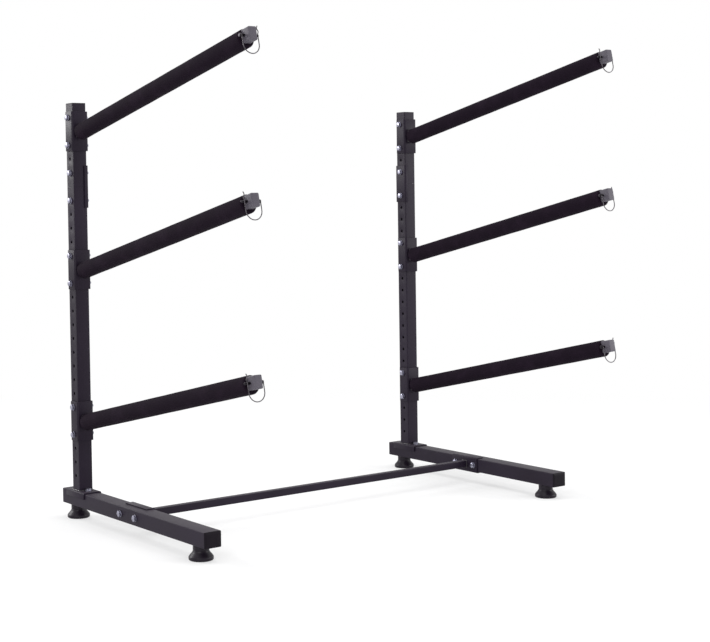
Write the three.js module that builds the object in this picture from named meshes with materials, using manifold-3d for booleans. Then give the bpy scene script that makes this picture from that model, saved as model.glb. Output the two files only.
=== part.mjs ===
import * as THREE from 'three';
import { mergeVertices } from 'three/addons/utils/BufferGeometryUtils.js';
import Module from 'manifold-3d';

// A free-standing storage stand: two punched posts on floor bases, and six padded arms.
// Millimetres. +X runs along the stand, the arms reach out to the front, -Y, and +Z is up.

// The whole stand
const postSpacing = 1470;
const standHeight = 1421;
const baseUnderside = 46;
const baseRearReach = 91;
const baseFrontReach = 815;
const armReach = 1062;
const armTilt = THREE.MathUtils.degToRad(12.5);

// Punched holes, counted from 0 at the bottom of each post
const holePitch = 47;
const lowestHole = 150;
const topHoleMargin = 49;
const armBoltSpan = 2;
const spliceBoltSpan = 2;

// Where the lower bolt of each arm and of each splice goes, as a share of the highest such hole
const lowShare = 0.125;
const midShare = 0.58;
const topShare = 1;
const spliceShare = 0.83;

// Tube sections
const postWidth = 50;
const postWall = 2.5;
const postCorner = 3;
const baseWidth = 60;
const baseHeight = 50;
const baseWall = 2.5;
const baseCorner = 3;
const armWidth = 25;
const armHeight = 38;
const armWall = 2;
const armCorner = 3;
const crossSize = 25;
const crossWall = 2;
const crossCorner = 3;

// Plates
const saddlePlate = 4;
const saddleLip = 18;
const saddleFrontReach = 68;
const saddleRearReach = 57;
const bracketPlate = 5;
const bracketLeg = 43;
const bracketMargin = 20;
const plateCorner = 4;
const splicePlate = 3.5;
const spliceFlange = 11;
const spliceMargin = 25;
const clampPlate = 3.5;
const clampLength = 134;
const clampFlange = 29;
const clampBoltSpan = 96;
const clampBack = 358;
const topPlate = 2.5;

// Bolts
const boltRadius = 5;
const headFlats = 17;
const headHeight = 6.4;
const nutHeight = 8;
const washerRadius = 10.5;
const washerHeight = 2;
const boltEnd = 4;
const saddleBoltOffset = 13;

// Sleeves, end caps, lock pins and their wires
const sleeveRadius = 28.5;
const sleeveDrop = 4;
const stubLength = 36;
const capWall = 1.2;
const capFace = 3;
const pinSetback = 12;
const pinRadius = 4;
const pinHeadRadius = 5.5;
const pinHeadLength = 9;
const pinTipLength = 7;
const grooveDepth = 0.9;
const grooveWidth = 5;
const pinSpan = 55;
const wireRadius = 1.5;
const wireDrop = 28;
const wireTail = 28;
const wireCurl = 2.5;

// Feet and base end caps
const rearFootInset = 58;
const frontFootInset = 67;
const footRadius = 38.5;
const studReach = 32;
const endCapFace = 2.5;
const plugDepth = 20;
const plugWall = 2;
const ventRadius = 4;
const ventInset = 60;

// Clearances, and how far a cutter runs past what it cuts
const seat = 0.3;
const slip = 0.5;
const weldBite = 0.5;
const overrun = 2;

// Facets. A round drawn in a shape takes twice its count of steps.
const cornerSteps = 2;
const sleeveSteps = 16;
const wireRoundSteps = 3;
const holeSides = 10;
const roundSides = 8;
const footSides = 24;
const archSteps = 8;
const wireSteps = 18;

// Worked out from the sizes above
const baseTop = baseUnderside + baseHeight;
const baseMiddle = baseUnderside + baseHeight / 2;
const saddleTop = baseTop + seat + saddlePlate;
const lastHole = Math.round((standHeight - topHoleMargin - lowestHole) / holePitch);
const spliceHole = holeOf(spliceShare);
const joint = spliceHole + spliceBoltSpan / 2;
const jointHeight = holeHeight(joint);
const bracketOuter = postWidth / 2 + slip + bracketPlate;
const spliceOuter = postWidth / 2 + seat + splicePlate;
const clampOuter = baseWidth / 2 + seat + clampPlate;
const sleeveEnd = armReach - stubLength;
const pinPlace = sleeveEnd + pinSetback;
const holeRadius = aroundRadius(boltRadius + slip, roundSides);
const punchRadius = aroundRadius(boltRadius + slip, holeSides);
const pinHoleRadius = aroundRadius(pinRadius + slip, roundSides);
const capGrowth = 2 * (slip + capWall);

const wasm = await Module();
wasm.setup();

const X = new THREE.Vector3(1, 0, 0);
const Y = new THREE.Vector3(0, 1, 0);
const Z = new THREE.Vector3(0, 0, 1);
const upward = new THREE.Matrix4();
const forward = new THREE.Matrix4().makeBasis(X, Z, Y.clone().negate());
const sideways = new THREE.Matrix4().makeBasis(Y, Z, X);

function finish(color, roughness, metalness) {
  return new THREE.MeshStandardMaterial({ color, roughness, metalness, flatShading: true });
}

const blackSteel = finish(0x242126, 0.45, 0.3);
const blackPlastic = finish(0x151417, 0.35, 0);
const greyPlastic = finish(0x67636c, 0.5, 0);
const foam = finish(0x1d1a20, 0.95, 0);
const zinc = finish(0xc2c4cc, 0.3, 0.9);
const wireSteel = finish(0x77737a, 0.3, 0.9);

function holeHeight(index) {
  return lowestHole + index * holePitch;
}

// The hole of an arm's or splice's lower bolt
function holeOf(share) {
  return Math.round(share * (lastHole - armBoltSpan));
}

// The middles of the rear and front feet
function footPlaces() {
  return { rear: baseRearReach - rearFootInset, front: frontFootInset - baseFrontReach };
}

// The corner radius of a faceted hole whose flats lie on a circle
function aroundRadius(radius, sides) {
  return radius / Math.cos(Math.PI / sides);
}

// Turns a closed geometry into a solid, leaving out the flat triangles at a lathe's poles
function solid(geometry) {
  const bare = geometry.clone();
  bare.deleteAttribute('normal');
  bare.deleteAttribute('uv');
  const merged = mergeVertices(bare);
  const corners = merged.index.array;
  const kept = [];
  for (let i = 0; i < corners.length; i += 3) {
    const [a, b, c] = corners.slice(i, i + 3);
    if (a !== b && b !== c && c !== a) {
      kept.push(a, b, c);
    }
  }
  return new wasm.Manifold(new wasm.Mesh({
    numProp: 3,
    vertProperties: new Float32Array(merged.attributes.position.array),
    triVerts: new Uint32Array(kept),
  }));
}

function join(...solids) {
  return solids.reduce((whole, next) => whole.add(next));
}

function cut(whole, ...cutters) {
  return cutters.reduce((rest, cutter) => rest.subtract(cutter), whole);
}

function surface(whole) {
  const mesh = whole.getMesh();
  const geometry = new THREE.BufferGeometry();
  geometry.setAttribute('position', new THREE.BufferAttribute(mesh.vertProperties, mesh.numProp));
  geometry.setIndex(new THREE.BufferAttribute(mesh.triVerts, 1));
  geometry.computeVertexNormals();
  return geometry;
}

function addPiece(parent, name, whole, material) {
  const mesh = new THREE.Mesh(surface(whole), material);
  mesh.name = name;
  parent.add(mesh);
}

function roundedOutline(path, width, height, corner) {
  const x = width / 2 - corner;
  const y = height / 2 - corner;
  path.absarc(x, y, corner, 0, Math.PI / 2);
  path.absarc(-x, y, corner, Math.PI / 2, Math.PI);
  path.absarc(-x, -y, corner, Math.PI, 1.5 * Math.PI);
  path.absarc(x, -y, corner, 1.5 * Math.PI, 2 * Math.PI);
  path.closePath();
  return path;
}

function barShape(width, height, corner) {
  return roundedOutline(new THREE.Shape(), width, height, corner);
}

function tubeShape(width, height, wall, corner) {
  const shape = barShape(width, height, corner);
  shape.holes.push(roundedOutline(new THREE.Path(), width - 2 * wall, height - 2 * wall, corner - wall));
  return shape;
}

// A channel open towards -y: its web lies on top, and its outer corners are bent
function channelShape(innerWidth, depth, plate, corner) {
  const outer = innerWidth / 2 + plate;
  const shape = new THREE.Shape();
  shape.moveTo(-outer, -depth);
  shape.lineTo(-innerWidth / 2, -depth);
  shape.lineTo(-innerWidth / 2, 0);
  shape.lineTo(innerWidth / 2, 0);
  shape.lineTo(innerWidth / 2, -depth);
  shape.lineTo(outer, -depth);
  shape.absarc(outer - corner, plate - corner, corner, 0, Math.PI / 2);
  shape.absarc(-outer + corner, plate - corner, corner, Math.PI / 2, Math.PI);
  shape.closePath();
  return shape;
}

// Extrudes a shape along the third axis of a basis, from a starting point
function extruded(shape, length, basis, x, y, z) {
  const geometry = new THREE.ExtrudeGeometry(shape, {
    depth: length,
    bevelEnabled: false,
    curveSegments: cornerSteps,
  });
  geometry.applyMatrix4(basis);
  geometry.translate(x, y, z);
  return solid(geometry);
}

function block(width, depth, height, x, y, z) {
  const geometry = new THREE.BoxGeometry(width, depth, height);
  geometry.translate(x, y, z);
  return solid(geometry);
}

function rodUp(radius, from, to, sides, x, y) {
  const geometry = new THREE.CylinderGeometry(radius, radius, to - from, sides);
  geometry.rotateX(Math.PI / 2);
  geometry.translate(x, y, (from + to) / 2);
  return solid(geometry);
}

function rodAcross(radius, from, to, sides, y, z) {
  const geometry = new THREE.CylinderGeometry(radius, radius, to - from, sides);
  geometry.rotateZ(Math.PI / 2);
  geometry.translate((from + to) / 2, y, z);
  return solid(geometry);
}

// A hexagon bolt along X, its head towards -X, with washers against the two gripped faces
function boltAcross(headFace, nutFace, y, z) {
  const hexRadius = headFlats / Math.sqrt(3);
  const headStart = headFace - washerHeight - headHeight;
  const nutEnd = nutFace + washerHeight + nutHeight;
  return join(
    rodAcross(boltRadius, headStart + headHeight / 2, nutEnd + boltEnd, roundSides, y, z),
    rodAcross(hexRadius, headStart, headFace - washerHeight, 6, y, z),
    rodAcross(washerRadius, headFace - washerHeight, headFace, roundSides, y, z),
    rodAcross(washerRadius, nutFace, nutFace + washerHeight, roundSides, y, z),
    rodAcross(hexRadius, nutFace + washerHeight, nutEnd, 6, y, z),
  );
}

function holeAcross(halfLength, y, z) {
  return rodAcross(holeRadius, -halfLength - overrun, halfLength + overrun, roundSides, y, z);
}

// The floor base: a square-cut tube with a welded nut over each foot
function baseTube() {
  const length = baseRearReach + baseFrontReach - 2 * (endCapFace + seat);
  const rearEnd = baseRearReach - endCapFace - seat;
  const innerFloor = baseUnderside + baseWall;
  const innerRoof = baseTop - baseWall;
  let tube = extruded(
    tubeShape(baseWidth, baseHeight, baseWall, baseCorner),
    length, forward, 0, rearEnd, baseMiddle,
  );
  for (const y of Object.values(footPlaces())) {
    const nut = rodUp(headFlats / Math.sqrt(3), innerFloor - weldBite, innerFloor + nutHeight, 6, 0, y);
    const bore = rodUp(
      boltRadius + seat, baseUnderside - overrun, innerFloor + nutHeight + overrun, footSides, 0, y,
    );
    tube = cut(join(tube, nut), bore);
  }
  for (const y of saddleBoltPlaces()) {
    tube = cut(tube, rodUp(holeRadius, innerRoof - overrun, baseTop + overrun, roundSides, 0, y));
  }
  for (const y of clampBoltPlaces()) {
    tube = cut(tube, holeAcross(baseWidth / 2, y, baseMiddle));
  }
  return tube;
}

function saddleBoltPlaces() {
  const offset = postWidth / 2 + saddleBoltOffset;
  return [offset, -offset];
}

function clampBoltPlaces() {
  return [-clampBack + clampBoltSpan / 2, -clampBack - clampBoltSpan / 2];
}

// An insert that closes one end of a base tube; facing is 1 at the rear and -1 at the front
function baseEndCap(facing) {
  const plugWidth = baseWidth - 2 * (baseWall + seat);
  const plugHeight = baseHeight - 2 * (baseWall + seat);
  const plugCorner = baseCorner - baseWall;
  const face = extruded(
    barShape(baseWidth, baseHeight, baseCorner), endCapFace, forward, 0, endCapFace / 2, baseMiddle,
  );
  const plug = extruded(
    barShape(plugWidth, plugHeight, plugCorner), plugDepth + endCapFace / 2, forward, 0, 0, baseMiddle,
  );
  const hollow = block(
    plugWidth - 2 * plugWall, plugDepth, plugHeight - 2 * plugWall,
    0, -endCapFace / 2 - plugDepth / 2 - weldBite, baseMiddle,
  );
  const cap = cut(join(face, plug), hollow);
  return facing > 0 ? cap : cap.mirror([0, 1, 0]);
}

// A run of punched holes through the side walls of a post
function punchHoles(tube, first, last) {
  let punched = tube;
  for (let index = first; index <= last; index += 1) {
    const hole = rodAcross(
      punchRadius, -postWidth / 2 - overrun, postWidth / 2 + overrun, holeSides, 0, holeHeight(index),
    );
    punched = cut(punched, hole);
  }
  return punched;
}

// The lower post, welded to the saddle plate that its two bolts pull down on the base
function lowerPost() {
  const tubeStart = saddleTop - weldBite;
  const tubeEnd = jointHeight - seat / 2;
  const tube = extruded(
    tubeShape(postWidth, postWidth, postWall, postCorner), tubeEnd - tubeStart, upward, 0, 0, tubeStart,
  );
  const saddle = extruded(
    channelShape(baseWidth + 2 * seat, saddleLip, saddlePlate, plateCorner),
    saddleRearReach + saddleFrontReach, forward, 0, saddleRearReach, baseTop + seat,
  );
  const bolts = saddleBoltPlaces().map((y) => saddleBolt(y));
  return join(punchHoles(tube, 0, Math.ceil(joint) - 1), saddle, ...bolts);
}

function saddleBolt(y) {
  const hexRadius = headFlats / Math.sqrt(3);
  const nutTop = baseTop - baseWall - seat;
  const washerTop = saddleTop + washerHeight;
  return join(
    rodUp(boltRadius, nutTop - nutHeight - boltEnd, washerTop + headHeight / 2, roundSides, 0, y),
    rodUp(hexRadius, nutTop - nutHeight, nutTop, 6, 0, y),
    rodUp(washerRadius, saddleTop - weldBite, washerTop, roundSides, 0, y),
    rodUp(hexRadius, washerTop - weldBite, washerTop + headHeight, 6, 0, y),
  );
}

// The upper post, with a plate welded over its top
function upperPost() {
  const tubeStart = jointHeight + seat / 2;
  const tube = extruded(
    tubeShape(postWidth, postWidth, postWall, postCorner), standHeight - tubeStart - topPlate / 2,
    upward, 0, 0, tubeStart,
  );
  const lid = extruded(
    barShape(postWidth, postWidth, postCorner), topPlate, upward, 0, 0, standHeight - topPlate,
  );
  return join(punchHoles(tube, Math.floor(joint) + 1, lastHole), lid);
}

// The channel that joins the two lengths of a post on its inner side, with its bolts.
// inward is 1 where that side faces +X, and -1 where it faces -X.
function splice(inward) {
  const length = spliceBoltSpan * holePitch + 2 * spliceMargin;
  const start = jointHeight - length / 2;
  const turn = new THREE.Matrix4().makeRotationZ(-inward * Math.PI / 2);
  const shape = channelShape(postWidth + 2 * seat, spliceFlange, splicePlate, plateCorner - weldBite);
  let channel = extruded(shape, length, turn, inward * (postWidth / 2 + seat), 0, start);
  const postFace = postWidth / 2 + seat;
  const headFace = inward > 0 ? -postFace : -spliceOuter;
  const nutFace = inward > 0 ? spliceOuter : postFace;
  for (const hole of [spliceHole, spliceHole + spliceBoltSpan]) {
    channel = join(channel, boltAcross(headFace, nutFace, 0, holeHeight(hole)));
  }
  return channel;
}

// A channel that clamps on the inner side of a base, with its two bolts
function baseClamp(inward, x) {
  const turn = new THREE.Matrix4().makeBasis(
    Z, X.clone().multiplyScalar(inward), Y.clone().multiplyScalar(inward),
  );
  const shape = channelShape(baseHeight + 2 * seat, clampFlange, clampPlate, plateCorner - weldBite);
  let clamp = extruded(
    shape, clampLength, turn,
    x + inward * (baseWidth / 2 + seat), -clampBack - inward * clampLength / 2, baseMiddle,
  );
  const baseFace = baseWidth / 2 + seat;
  const headFace = x + (inward > 0 ? -baseFace : -clampOuter);
  const nutFace = x + (inward > 0 ? clampOuter : baseFace);
  for (const y of clampBoltPlaces()) {
    clamp = join(clamp, boltAcross(headFace, nutFace, y, baseMiddle));
  }
  return clamp;
}

// The crossbar between the bases: a tube with a welded clamp at each end
function crossbar() {
  const end = postSpacing / 2 - clampOuter + weldBite;
  let tube = extruded(
    tubeShape(crossSize, crossSize, crossWall, crossCorner), 2 * end, sideways, -end, -clampBack, baseMiddle,
  );
  for (const x of [-end + ventInset, end - ventInset]) {
    const floor = baseMiddle - crossSize / 2;
    tube = cut(tube, rodUp(ventRadius, floor - overrun, floor + crossWall + slip, roundSides, x, -clampBack));
  }
  return join(tube, baseClamp(1, -postSpacing / 2), baseClamp(-1, postSpacing / 2));
}

// The arm's tube and bracket, welded together, about the middle of the bracket's front face
function armWeldment() {
  const height = armBoltSpan * holePitch + 2 * bracketMargin;
  const turn = new THREE.Matrix4().makeRotationZ(Math.PI);
  let bracket = extruded(
    channelShape(postWidth + 2 * slip, bracketLeg, bracketPlate, plateCorner),
    height, turn, 0, bracketPlate, -height / 2,
  );
  for (const z of [-armBoltSpan * holePitch / 2, armBoltSpan * holePitch / 2]) {
    bracket = cut(bracket, holeAcross(bracketOuter, bracketOuter, z));
  }
  const tubeEnd = armReach - capFace - seat;
  let tube = extruded(
    tubeShape(armWidth, armHeight, armWall, armCorner), tubeEnd + armHeight, forward, 0, armHeight, 0,
  );
  tube = cut(tube, rodAcross(
    pinHoleRadius, -armWidth / 2 - overrun, armWidth / 2 + overrun, roundSides, -pinPlace, 0,
  ));
  tube = tube.rotate([-THREE.MathUtils.radToDeg(armTilt), 0, 0]);
  const behind = block(
    2 * armHeight, 2 * armHeight, 3 * armHeight, 0, armHeight + weldBite, 0,
  );
  return join(bracket, cut(tube, behind));
}

// The foam sleeve, whose bore follows the tube; it hangs a little low on it
function foamSleeve() {
  const start = sleeveStart();
  const shape = new THREE.Shape();
  shape.absarc(0, -sleeveDrop, sleeveRadius, 0, 2 * Math.PI);
  const geometry = new THREE.ExtrudeGeometry(shape, {
    depth: sleeveEnd - start,
    bevelEnabled: false,
    curveSegments: sleeveSteps,
  });
  geometry.applyMatrix4(forward);
  geometry.translate(0, -start, 0);
  const bore = extruded(
    barShape(armWidth + 2 * seat, armHeight + 2 * seat, armCorner),
    armReach, forward, 0, 0, 0,
  );
  return cut(solid(geometry), bore);
}

function sleeveStart() {
  return ((sleeveRadius - sleeveDrop) * Math.sin(armTilt) + seat) / Math.cos(armTilt) + slip;
}

// The cap that slides over the free end of the arm's tube
function armEndCap() {
  const start = sleeveEnd + seat;
  const outer = extruded(
    barShape(armWidth + capGrowth, armHeight + capGrowth, armCorner + capWall),
    armReach - start, forward, 0, -start, 0,
  );
  const inner = extruded(
    barShape(armWidth + 2 * slip, armHeight + 2 * slip, armCorner),
    armReach - capFace - start + overrun, forward, 0, overrun - start, 0,
  );
  const halfWidth = (armWidth + capGrowth) / 2;
  const pinHole = rodAcross(
    pinHoleRadius, -halfWidth - overrun, halfWidth + overrun, roundSides, -pinPlace, 0,
  );
  return cut(outer, inner, pinHole);
}

// The lock pin along X, its head towards -X when side is 1 and towards +X when it is -1
function lockPin(side) {
  const half = pinSpan / 2;
  const profile = [
    [0, -half - pinHeadLength / 2],
    [pinHeadRadius, -half - pinHeadLength / 2],
    [pinHeadRadius, -half + pinHeadLength / 2],
    [pinRadius, -half + pinHeadLength / 2],
    [pinRadius, half - grooveWidth / 2],
    [pinRadius - grooveDepth, half - grooveWidth / 2],
    [pinRadius - grooveDepth, half + grooveWidth / 2],
    [pinRadius, half + grooveWidth / 2],
    [pinRadius - grooveDepth, half + pinTipLength],
    [0, half + pinTipLength],
  ];
  const geometry = new THREE.LatheGeometry(profile.map(([r, x]) => new THREE.Vector2(r, x)), roundSides);
  geometry.rotateZ(-side * Math.PI / 2);
  const eyeRadius = aroundRadius(wireRadius + slip, roundSides);
  const eye = new THREE.CylinderGeometry(eyeRadius, eyeRadius, 2 * (pinHeadRadius + overrun), roundSides);
  eye.translate(-side * half, 0, 0);
  const pin = cut(solid(geometry), solid(eye));
  return pin.translate([0, -pinPlace, 0]);
}

// The wire that hangs from the pin's head, passes under the arm and hooks before the tip.
// Its centre is the middle of the eye in the pin's head.
function wireLoop(side) {
  const radius = pinSpan / 2;
  const front = -(pinHeadRadius + wireRadius + slip);
  const points = [new THREE.Vector3(0, front, wireRadius)];
  for (let step = 0; step <= archSteps; step += 1) {
    const angle = Math.PI * (1 + step / archSteps);
    points.push(new THREE.Vector3(
      side * (radius + radius * Math.cos(angle)), front, -wireDrop + radius * Math.sin(angle),
    ));
  }
  const tailShares = [[0, 0.1], [1, 0.4], [-0.6, 0.7], [0.6, 1]];
  for (const [sideShare, heightShare] of tailShares) {
    points.push(new THREE.Vector3(
      side * (pinSpan + sideShare * wireCurl), front, heightShare * wireTail,
    ));
  }
  const section = new THREE.Shape();
  section.absarc(0, 0, wireRadius, 0, 2 * Math.PI);
  const arch = new THREE.ExtrudeGeometry(section, {
    extrudePath: new THREE.CatmullRomCurve3(points),
    steps: wireSteps,
    curveSegments: wireRoundSteps,
    bevelEnabled: false,
  });
  const length = pinHeadRadius + overrun - front;
  const spindle = new THREE.CylinderGeometry(wireRadius, wireRadius, length, roundSides);
  spindle.translate(0, front + length / 2, 0);
  return join(solid(arch), solid(spindle));
}

// A levelling foot with its threaded stud, turned in one outline
function levellingFoot() {
  const height = baseUnderside - seat;
  const bellShares = [
    [0.92, 0],
    [1, 0.07],
    [1, 0.21],
    [0.96, 0.27],
    [0.76, 0.47],
    [0.68, 0.58],
    [0.65, 0.7],
    [0.65, 1],
  ];
  const profile = bellShares.map(([r, z]) => new THREE.Vector2(r * footRadius, z * height));
  profile.unshift(new THREE.Vector2(0, 0));
  profile.push(new THREE.Vector2(boltRadius, height));
  profile.push(new THREE.Vector2(boltRadius, height + studReach));
  profile.push(new THREE.Vector2(0, height + studReach));
  const geometry = new THREE.LatheGeometry(profile, footSides);
  geometry.rotateX(Math.PI / 2);
  return solid(geometry);
}

function addArm(parent, column, level, hole, side) {
  const group = new THREE.Group();
  group.position.set(0, -bracketOuter, holeHeight(hole + armBoltSpan / 2));
  parent.add(group);
  addPiece(group, `arm_${column}_${level}`, armWeldment(), blackSteel);
  for (const [place, step] of [['lower', 0], ['upper', armBoltSpan]]) {
    const z = (step - armBoltSpan / 2) * holePitch;
    const bolt = boltAcross(-bracketOuter - seat, bracketOuter + seat, bracketOuter, z);
    addPiece(group, `arm_bolt_${column}_${level}_${place}`, bolt, zinc);
  }
  const tilted = new THREE.Group();
  tilted.rotation.x = -armTilt;
  group.add(tilted);
  addPiece(tilted, `foam_sleeve_${column}_${level}`, foamSleeve(), foam);
  addPiece(tilted, `arm_end_cap_${column}_${level}`, armEndCap(), greyPlastic);
  addPiece(tilted, `lock_pin_${column}_${level}`, lockPin(side), wireSteel);
  const eye = new THREE.Group();
  eye.position.set(-side * pinSpan / 2, -pinPlace, 0);
  tilted.add(eye);
  addPiece(eye, `lock_wire_${column}_${level}`, wireLoop(side), wireSteel);
}

function addColumn(parent, column, x, inward, pinSides) {
  const group = new THREE.Group();
  group.position.x = x;
  parent.add(group);
  addPiece(group, `base_tube_${column}`, baseTube(), blackSteel);
  const rearCap = baseEndCap(1).translate([0, baseRearReach - endCapFace / 2, 0]);
  const frontCap = baseEndCap(-1).translate([0, -baseFrontReach + endCapFace / 2, 0]);
  addPiece(group, `base_end_cap_${column}_rear`, rearCap, blackPlastic);
  addPiece(group, `base_end_cap_${column}_front`, frontCap, blackPlastic);
  for (const [place, y] of Object.entries(footPlaces())) {
    addPiece(group, `levelling_foot_${column}_${place}`, levellingFoot().translate([0, y, 0]), blackPlastic);
  }
  addPiece(group, `lower_post_${column}`, lowerPost(), blackSteel);
  addPiece(group, `upper_post_${column}`, upperPost(), blackSteel);
  addPiece(group, `post_splice_${column}`, splice(inward), blackSteel);
  addArm(group, column, 'low', holeOf(lowShare), pinSides.low);
  addArm(group, column, 'mid', holeOf(midShare), pinSides.mid);
  addArm(group, column, 'top', holeOf(topShare), pinSides.top);
}

const stand = new THREE.Group();
addColumn(stand, 'left', -postSpacing / 2, 1, { low: -1, mid: -1, top: 1 });
addColumn(stand, 'right', postSpacing / 2, -1, { low: 1, mid: 1, top: -1 });
addPiece(stand, 'crossbar', crossbar(), blackSteel);

// The origin is on the floor, under the middle of the stand's own box
const bounds = new THREE.Box3().setFromObject(stand, true);
const middle = bounds.getCenter(new THREE.Vector3());
stand.position.set(-middle.x, -middle.y, -bounds.min.z);

export default stand;
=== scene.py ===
"""Looks for a six-armed kayak stand: punched posts on floor bases, and padded arms with lock pins.

Lengths are metres. +X runs along the stand, the arms reach out to the front, -Y, and +Z is up.
"""

import logging
import math
from collections.abc import Iterable, Iterator
from dataclasses import dataclass, field
from enum import Enum
from typing import Any

import bmesh
import bpy
import numpy as np
from mathutils import Matrix, Vector

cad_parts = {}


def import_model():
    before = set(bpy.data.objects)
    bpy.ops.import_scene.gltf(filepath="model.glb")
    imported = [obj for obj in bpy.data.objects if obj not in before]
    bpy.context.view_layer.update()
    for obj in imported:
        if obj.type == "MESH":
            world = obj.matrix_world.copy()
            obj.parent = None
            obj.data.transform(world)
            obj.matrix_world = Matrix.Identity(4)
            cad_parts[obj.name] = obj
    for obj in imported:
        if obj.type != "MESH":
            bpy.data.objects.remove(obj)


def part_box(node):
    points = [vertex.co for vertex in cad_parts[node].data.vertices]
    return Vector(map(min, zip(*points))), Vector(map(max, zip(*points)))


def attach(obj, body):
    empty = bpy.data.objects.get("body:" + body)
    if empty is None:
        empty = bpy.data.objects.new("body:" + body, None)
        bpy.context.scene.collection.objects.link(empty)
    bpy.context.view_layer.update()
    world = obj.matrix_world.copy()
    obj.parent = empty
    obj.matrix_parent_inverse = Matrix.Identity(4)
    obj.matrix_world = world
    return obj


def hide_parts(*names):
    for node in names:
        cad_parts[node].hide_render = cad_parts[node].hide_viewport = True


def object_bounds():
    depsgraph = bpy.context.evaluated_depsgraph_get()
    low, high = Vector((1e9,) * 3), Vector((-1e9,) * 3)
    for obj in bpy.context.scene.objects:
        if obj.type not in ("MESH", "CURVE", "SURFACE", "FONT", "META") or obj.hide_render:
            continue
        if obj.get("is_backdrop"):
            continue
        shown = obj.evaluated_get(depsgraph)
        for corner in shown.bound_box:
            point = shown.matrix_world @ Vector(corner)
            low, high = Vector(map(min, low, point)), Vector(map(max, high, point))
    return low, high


Array = np.ndarray
Triple = tuple[float, float, float]
Colour = tuple[float, float, float, float]

WHITE: Colour = (1, 1, 1, 1)
# Points, edges and heights that differ by less than these are the same
SAME_POINT = 2e-6
NO_LENGTH = 1e-7
SAME_HEIGHT = 1e-5

log = logging.getLogger("kayak_stand")


class Named(Enum):
    """Choices that are named in the names of pieces."""

    @property
    def label(self) -> str:
        """The choice as pieces name it."""
        return self.name.lower()


class Column(Named):
    """The two posts, each with the direction of the other one along X."""

    LEFT = 1
    RIGHT = -1


class Level(Named):
    """The three heights at which an arm is bolted."""

    LOW = 0
    MID = 1
    TOP = 2


class Place(Named):
    """The two ends of a floor base, each with its direction along Y."""

    REAR = 1
    FRONT = -1


class Slot(Enum):
    """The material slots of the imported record."""

    BLACK_COAT = "black_coat"
    BLACK_PLASTIC = "black_plastic"
    GREY_PLASTIC = "grey_plastic"
    BLACK_FOAM = "black_foam"
    ZINC = "zinc"
    WIRE_STEEL = "wire_steel"


# Shaders

@dataclass(frozen=True)
class Signal:
    """One output socket of a shader, on which arithmetic adds Math nodes."""

    graph: "Graph"
    socket: bpy.types.NodeSocket

    def math(self, operation: str, *values: Any, clamp: bool = False) -> "Signal":
        """Adds a Math node with these inputs, whose result may be clamped to 0 to 1."""
        settings = {"operation": operation, "use_clamp": clamp}
        return self.graph.node("ShaderNodeMath", settings, dict(enumerate(values)))

    def __add__(self, other: Any) -> "Signal":
        """The sum of this and other."""
        return self.math("ADD", self, other)

    def __mul__(self, other: Any) -> "Signal":
        """The product of this and other."""
        return self.math("MULTIPLY", self, other)

    __radd__ = __add__
    __rmul__ = __mul__

    def step(self, start: float, end: float) -> "Signal":
        """A smooth rise from 0 at start to 1 at end."""
        inputs = {"Value": self, "From Min": start, "From Max": end}
        return self.graph.node("ShaderNodeMapRange", {"interpolation_type": "SMOOTHSTEP"}, inputs)


class Graph:
    """The node tree of one material or of the world."""

    def __init__(self, owner: bpy.types.Material | bpy.types.World) -> None:
        """Empties the owner's node tree and keeps it.

        Args:
            owner: The material or world that gets the nodes.
        """
        owner.use_nodes = True
        self.tree = owner.node_tree
        self.tree.nodes.clear()

    def node(
        self,
        kind: str,
        settings: dict[str, Any] | None = None,
        inputs: dict[int | str, Any] | None = None,
        output: int | str = 0,
    ) -> Signal:
        """Adds a node.

        Args:
            kind: The node's type.
            settings: Its own settings, which are set first.
            inputs: The value or the signal for each of its sockets.
            output: The socket that is returned.

        Returns:
            The chosen output.
        """
        made = self.tree.nodes.new(kind)
        for key, value in (settings or {}).items():
            setattr(made, key, value)
        for key, value in (inputs or {}).items():
            if isinstance(value, Signal):
                self.tree.links.new(value.socket, made.inputs[key])
            else:
                made.inputs[key].default_value = value
        return Signal(self, made.outputs[output] if made.outputs else made.inputs[0])

    def place(self) -> Signal:
        """The point on the object, in metres."""
        return self.node("ShaderNodeTexCoord", output="Object")

    def noise(self, scale: float, detail: float = 2.0, roughness: float = 0.5) -> Signal:
        """Cloudy noise from 0 to 1: scale clouds per metre, with detail octaves of finer ones."""
        inputs = {"Vector": self.place(), "Scale": scale, "Detail": detail, "Roughness": roughness}
        return self.node("ShaderNodeTexNoise", inputs=inputs)

    def cells(self, scale: float) -> Signal:
        """The distance to the nearest of many scattered points, for pores and pebbles."""
        inputs = {"Vector": self.place(), "Scale": scale}
        return self.node("ShaderNodeTexVoronoi", inputs=inputs, output="Distance")

    def blend(self, share: Signal, first: Colour | Signal, second: Colour | Signal) -> Signal:
        """A colour between the first, at share 0, and the second, at share 1."""
        settings = {"data_type": "RGBA"}
        return self.node("ShaderNodeMix", settings, {0: share, 6: first, 7: second}, output=2)

    def relief(self, height: Signal, depth: float, strength: float) -> Signal:
        """A normal bumped by a height, of which 1 measures depth metres."""
        inputs = {"Height": height, "Distance": depth, "Strength": strength}
        return self.node("ShaderNodeBump", inputs=inputs)

    def surface(self, **sockets: Any) -> None:
        """Adds a Principled shader and the material's output.

        Args:
            sockets: The shader's inputs by their names, with underscores for spaces.
        """
        inputs = {key.replace("_", " "): value for key, value in sockets.items()}
        shader = self.node("ShaderNodeBsdfPrincipled", inputs=inputs)
        self.node("ShaderNodeOutputMaterial", inputs={"Surface": shader})


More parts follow.
